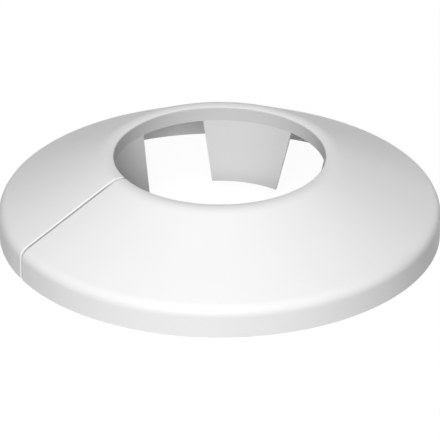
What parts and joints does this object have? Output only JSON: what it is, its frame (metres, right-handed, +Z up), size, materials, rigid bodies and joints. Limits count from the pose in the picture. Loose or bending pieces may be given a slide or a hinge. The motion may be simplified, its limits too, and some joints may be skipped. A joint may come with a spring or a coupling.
{
  "type": "radiator pipe collar",
  "caption": "Low conical cover ring in white plastic for a radiator pipe, with an upright rim, a radial slit and sprung tongues that lean in round the bore to grip the pipe.",
  "frame": {"origin": "middle of the bore, on the floor that the rim's foot rests on", "axes": "+Z up the pipe's axis, slit at -Y, tongues on the diagonals between X and Y"},
  "size_m": [0.048, 0.048, 0.0092],
  "materials": {
    "white_plastic": "satin"
  },
  "bodies": {
    "root": {"collar": "white_plastic"}
  },
  "joints": []
}
